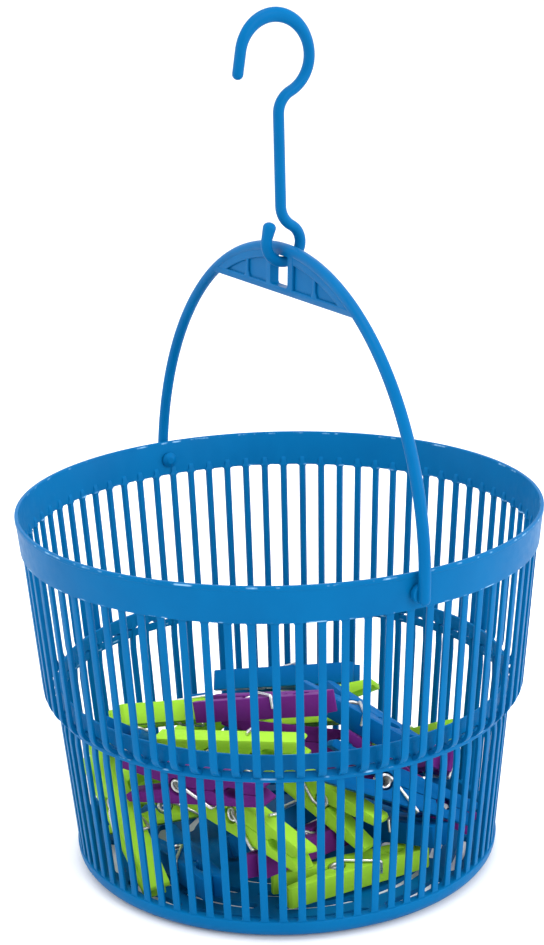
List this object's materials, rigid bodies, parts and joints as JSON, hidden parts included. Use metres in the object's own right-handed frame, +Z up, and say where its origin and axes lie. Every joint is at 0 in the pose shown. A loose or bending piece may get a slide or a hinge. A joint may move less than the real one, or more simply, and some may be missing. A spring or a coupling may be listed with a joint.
{
  "type": "peg basket",
  "caption": "Round slatted plastic peg basket in two tiers, with a swing handle, a hang hook and a heap of spring clothes pegs in its lower tier.",
  "frame": {"origin": "middle of the base's underside", "axes": "+Z up, X along the handle's pivots, +Y away from the side that the hook's tip points to"},
  "size_m": [0.2532, 0.24, 0.3895],
  "materials": {
    "basket_blue": "satin moulded",
    "handle_blue": "satin moulded",
    "hook_blue": "satin moulded",
    "peg_blue_plastic": "satin moulded",
    "peg_green_plastic": "satin moulded",
    "peg_purple_plastic": "satin moulded",
    "spring_steel": "bright wire"
  },
  "bodies": {
    "basket": {"basket": "basket_blue", "peg_01_lever_a": "peg_green_plastic", "peg_01_spring": "spring_steel", "peg_02_lever_a": "peg_purple_plastic", "peg_02_spring": "spring_steel", "peg_03_lever_a": "peg_blue_plastic", "peg_03_spring": "spring_steel", "peg_04_lever_a": "peg_blue_plastic", "peg_04_spring": "spring_steel", "peg_05_lever_a": "peg_purple_plastic", "peg_05_spring": "spring_steel", "peg_06_lever_a": "peg_blue_plastic", "peg_06_spring": "spring_steel", "peg_07_lever_a": "peg_green_plastic", "peg_07_spring": "spring_steel", "peg_08_lever_a": "peg_green_plastic", "peg_08_spring": "spring_steel", "peg_09_lever_a": "peg_blue_plastic", "peg_09_spring": "spring_steel", "peg_10_lever_a": "peg_green_plastic", "peg_10_spring": "spring_steel", "peg_11_lever_a": "peg_purple_plastic", "peg_11_spring": "spring_steel", "peg_12_lever_a": "peg_blue_plastic", "peg_12_spring": "spring_steel", "peg_13_lever_a": "peg_purple_plastic", "peg_13_spring": "spring_steel", "peg_14_lever_a": "peg_green_plastic", "peg_14_spring": "spring_steel", "peg_15_lever_a": "peg_blue_plastic", "peg_15_spring": "spring_steel", "peg_16_lever_a": "peg_green_plastic", "peg_16_spring": "spring_steel", "peg_17_lever_a": "peg_green_plastic", "peg_17_spring": "spring_steel", "peg_18_lever_a": "peg_purple_plastic", "peg_18_spring": "spring_steel", "peg_19_lever_a": "peg_green_plastic", "peg_19_spring": "spring_steel"},
    "handle": {"handle": "handle_blue"},
    "hook": {"hook": "hook_blue"},
    "peg_01_lever_b": {"peg_01_lever_b": "peg_green_plastic"},
    "peg_02_lever_b": {"peg_02_lever_b": "peg_purple_plastic"},
    "peg_03_lever_b": {"peg_03_lever_b": "peg_blue_plastic"},
    "peg_04_lever_b": {"peg_04_lever_b": "peg_blue_plastic"},
    "peg_05_lever_b": {"peg_05_lever_b": "peg_purple_plastic"},
    "peg_06_lever_b": {"peg_06_lever_b": "peg_blue_plastic"},
    "peg_07_lever_b": {"peg_07_lever_b": "peg_green_plastic"},
    "peg_08_lever_b": {"peg_08_lever_b": "peg_green_plastic"},
    "peg_09_lever_b": {"peg_09_lever_b": "peg_blue_plastic"},
    "peg_10_lever_b": {"peg_10_lever_b": "peg_green_plastic"},
    "peg_11_lever_b": {"peg_11_lever_b": "peg_purple_plastic"},
    "peg_12_lever_b": {"peg_12_lever_b": "peg_blue_plastic"},
    "peg_13_lever_b": {"peg_13_lever_b": "peg_purple_plastic"},
    "peg_14_lever_b": {"peg_14_lever_b": "peg_green_plastic"},
    "peg_15_lever_b": {"peg_15_lever_b": "peg_blue_plastic"},
    "peg_16_lever_b": {"peg_16_lever_b": "peg_green_plastic"},
    "peg_17_lever_b": {"peg_17_lever_b": "peg_green_plastic"},
    "peg_18_lever_b": {"peg_18_lever_b": "peg_purple_plastic"},
    "peg_19_lever_b": {"peg_19_lever_b": "peg_green_plastic"}
  },
  "joints": [
    {"name": "handle_swing", "type": "hinge", "parent": "basket", "child": "handle", "pos_m": [0, 0, 0.161], "axis": [1, 0, 0], "range_deg": [-77, 82]},
    {"name": "hook_swing", "type": "hinge", "parent": "handle", "child": "hook", "pos_m": [0, 0.00541, 0.28488], "axis": [1, 0, 0], "range_deg": [-50, 50]},
    {"name": "peg_01_squeeze", "type": "hinge", "parent": "basket", "child": "peg_01_lever_b", "pos_m": [0.06062, -0.00732, 0.0095], "axis": [0, 0, -1], "range_deg": [0, 14], "stiffness_Nm_per_rad": 0.05, "springref_deg": -17.19, "deforming": ["peg_01_spring"]},
    {"name": "peg_02_squeeze", "type": "hinge", "parent": "basket", "child": "peg_02_lever_b", "pos_m": [0.04347, -0.01165, 0.01963], "axis": [0.217, -0.0514, -0.9748], "range_deg": [0, 14], "stiffness_Nm_per_rad": 0.05, "springref_deg": -17.19, "deforming": ["peg_02_spring"]},
    {"name": "peg_03_squeeze", "type": "hinge", "parent": "basket", "child": "peg_03_lever_b", "pos_m": [0.03396, 0.02952, 0.01512], "axis": [0.225, -0.0307, -0.9739], "range_deg": [0, 14], "stiffness_Nm_per_rad": 0.05, "springref_deg": -17.19, "deforming": ["peg_03_spring"]},
    {"name": "peg_04_squeeze", "type": "hinge", "parent": "basket", "child": "peg_04_lever_b", "pos_m": [0.00756, -0.06154, 0.01032], "axis": [0.087, -0.0046, -0.9962], "range_deg": [0, 14], "stiffness_Nm_per_rad": 0.05, "springref_deg": -17.19, "deforming": ["peg_04_spring"]},
    {"name": "peg_05_squeeze", "type": "hinge", "parent": "basket", "child": "peg_05_lever_b", "pos_m": [-0.05056, 0.04242, 0.02524], "axis": [-0.4695, -0.8829, 0], "range_deg": [0, 14], "stiffness_Nm_per_rad": 0.05, "springref_deg": -17.19, "deforming": ["peg_05_spring"]},
    {"name": "peg_06_squeeze", "type": "hinge", "parent": "basket", "child": "peg_06_lever_b", "pos_m": [-0.06564, -0.0069, 0.02524], "axis": [-0.1392, -0.9903, 0], "range_deg": [0, 14], "stiffness_Nm_per_rad": 0.05, "springref_deg": -17.19, "deforming": ["peg_06_spring"]},
    {"name": "peg_07_squeeze", "type": "hinge", "parent": "basket", "child": "peg_07_lever_b", "pos_m": [-0.00607, -0.08395, 0.03681], "axis": [0.0167, -0.9978, -0.064], "range_deg": [0, 14], "stiffness_Nm_per_rad": 0.05, "springref_deg": -17.19, "deforming": ["peg_07_spring"]},
    {"name": "peg_08_squeeze", "type": "hinge", "parent": "basket", "child": "peg_08_lever_b", "pos_m": [0.04149, -0.04607, 0.04201], "axis": [0.2354, -0.9583, 0.162], "range_deg": [0, 14], "stiffness_Nm_per_rad": 0.05, "springref_deg": -17.19, "deforming": ["peg_08_spring"]},
    {"name": "peg_09_squeeze", "type": "hinge", "parent": "basket", "child": "peg_09_lever_b", "pos_m": [0.017, -0.01132, 0.01889], "axis": [0.5011, 0.1805, -0.8464], "range_deg": [0, 14], "stiffness_Nm_per_rad": 0.05, "springref_deg": -17.19, "deforming": ["peg_09_spring"]},
    {"name": "peg_10_squeeze", "type": "hinge", "parent": "basket", "child": "peg_10_lever_b", "pos_m": [0.03898, 0, 0.03706], "axis": [-0.4858, 0.8696, -0.0886], "range_deg": [0, 14], "stiffness_Nm_per_rad": 0.05, "springref_deg": -17.19, "deforming": ["peg_10_spring"]},
    {"name": "peg_11_squeeze", "type": "hinge", "parent": "basket", "child": "peg_11_lever_b", "pos_m": [0.04574, 0.02911, 0.04358], "axis": [0.9246, -0.3223, 0.203], "range_deg": [0, 14], "stiffness_Nm_per_rad": 0.05, "springref_deg": -17.19, "deforming": ["peg_11_spring"]},
    {"name": "peg_12_squeeze", "type": "hinge", "parent": "basket", "child": "peg_12_lever_b", "pos_m": [0.05752, 0.01906, 0.04828], "axis": [0.8942, -0.1884, 0.4061], "range_deg": [0, 14], "stiffness_Nm_per_rad": 0.05, "springref_deg": -17.19, "deforming": ["peg_12_spring"]},
    {"name": "peg_13_squeeze", "type": "hinge", "parent": "basket", "child": "peg_13_lever_b", "pos_m": [0.02526, -0.06571, 0.05504], "axis": [0.5002, -0.8657, -0.0174], "range_deg": [0, 14], "stiffness_Nm_per_rad": 0.05, "springref_deg": -17.19, "deforming": ["peg_13_spring"]},
    {"name": "peg_14_squeeze", "type": "hinge", "parent": "basket", "child": "peg_14_lever_b", "pos_m": [0.0104, -0.04172, 0.05923], "axis": [0.6128, -0.7856, -0.0856], "range_deg": [0, 14], "stiffness_Nm_per_rad": 0.05, "springref_deg": -17.19, "deforming": ["peg_14_spring"]},
    {"name": "peg_15_squeeze", "type": "hinge", "parent": "basket", "child": "peg_15_lever_b", "pos_m": [0.00968, 0.04781, 0.02119], "axis": [-0.7571, 0.3033, -0.5786], "range_deg": [0, 14], "stiffness_Nm_per_rad": 0.05, "springref_deg": -17.19, "deforming": ["peg_15_spring"]},
    {"name": "peg_16_squeeze", "type": "hinge", "parent": "basket", "child": "peg_16_lever_b", "pos_m": [-0.05708, -0.04143, 0.02508], "axis": [0.9953, 0.0886, -0.0394], "range_deg": [0, 14], "stiffness_Nm_per_rad": 0.05, "springref_deg": -17.19, "deforming": ["peg_16_spring"]},
    {"name": "peg_17_squeeze", "type": "hinge", "parent": "basket", "child": "peg_17_lever_b", "pos_m": [-0.02796, -0.05045, 0.01858], "axis": [0.7556, -0.4316, 0.4928], "range_deg": [0, 14], "stiffness_Nm_per_rad": 0.05, "springref_deg": -17.19, "deforming": ["peg_17_spring"]},
    {"name": "peg_18_squeeze", "type": "hinge", "parent": "basket", "child": "peg_18_lever_b", "pos_m": [-0.01244, 0.00495, 0.04502], "axis": [0.7192, -0.5241, 0.4562], "range_deg": [0, 14], "stiffness_Nm_per_rad": 0.05, "springref_deg": -17.19, "deforming": ["peg_18_spring"]},
    {"name": "peg_19_squeeze", "type": "hinge", "parent": "basket", "child": "peg_19_lever_b", "pos_m": [-0.02294, 0.03251, 0.0525], "axis": [-0.5237, 0.6538, -0.5462], "range_deg": [0, 14], "stiffness_Nm_per_rad": 0.05, "springref_deg": -17.19, "deforming": ["peg_19_spring"]}
  ]
}
